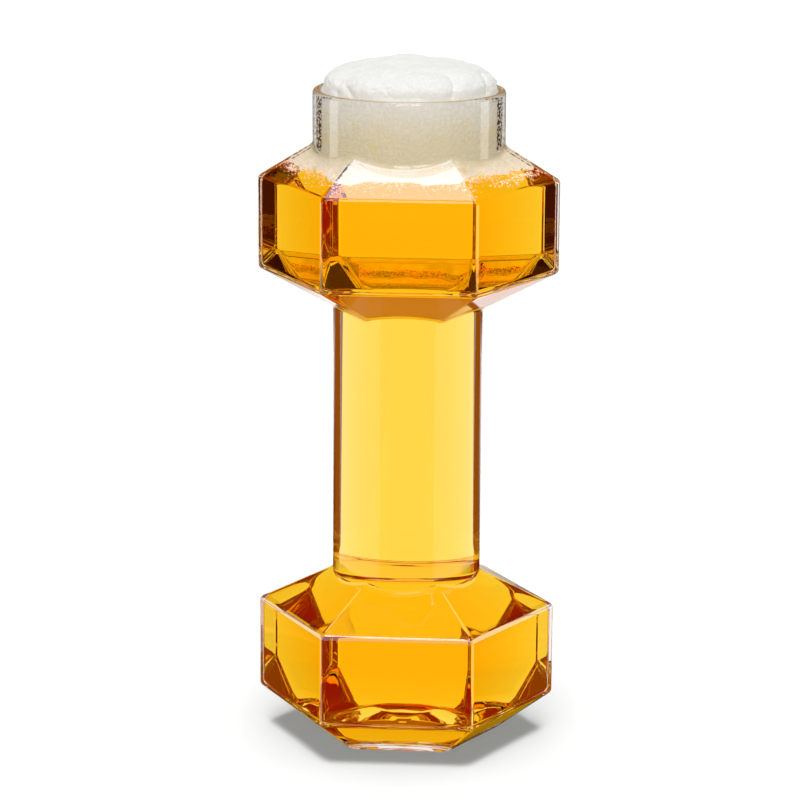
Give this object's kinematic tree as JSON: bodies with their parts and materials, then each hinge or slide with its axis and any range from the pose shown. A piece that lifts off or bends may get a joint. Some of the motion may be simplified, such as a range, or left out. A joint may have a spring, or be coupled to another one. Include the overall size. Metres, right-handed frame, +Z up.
{
  "type": "dumbbell beer glass",
  "caption": "Clear beer glass shaped like a dumbbell: two hexagonal heads on a round hollow handle, with a short round neck, filled with amber beer and topped by a dome of foam.",
  "frame": {"origin": "middle of the foot's underside, on the surface that the glass stands on", "axes": "+Z up along the handle towards the mouth, X through opposite corners of the hexagons, Y through opposite flats, -Y towards the viewer"},
  "size_m": [0.0944, 0.0822, 0.2171],
  "materials": {
    "glass": "polished",
    "beer": "polished",
    "foam": "matte"
  },
  "bodies": {
    "root": {"glass": "glass", "beer": "beer", "foam_head": "foam"}
  },
  "joints": []
}
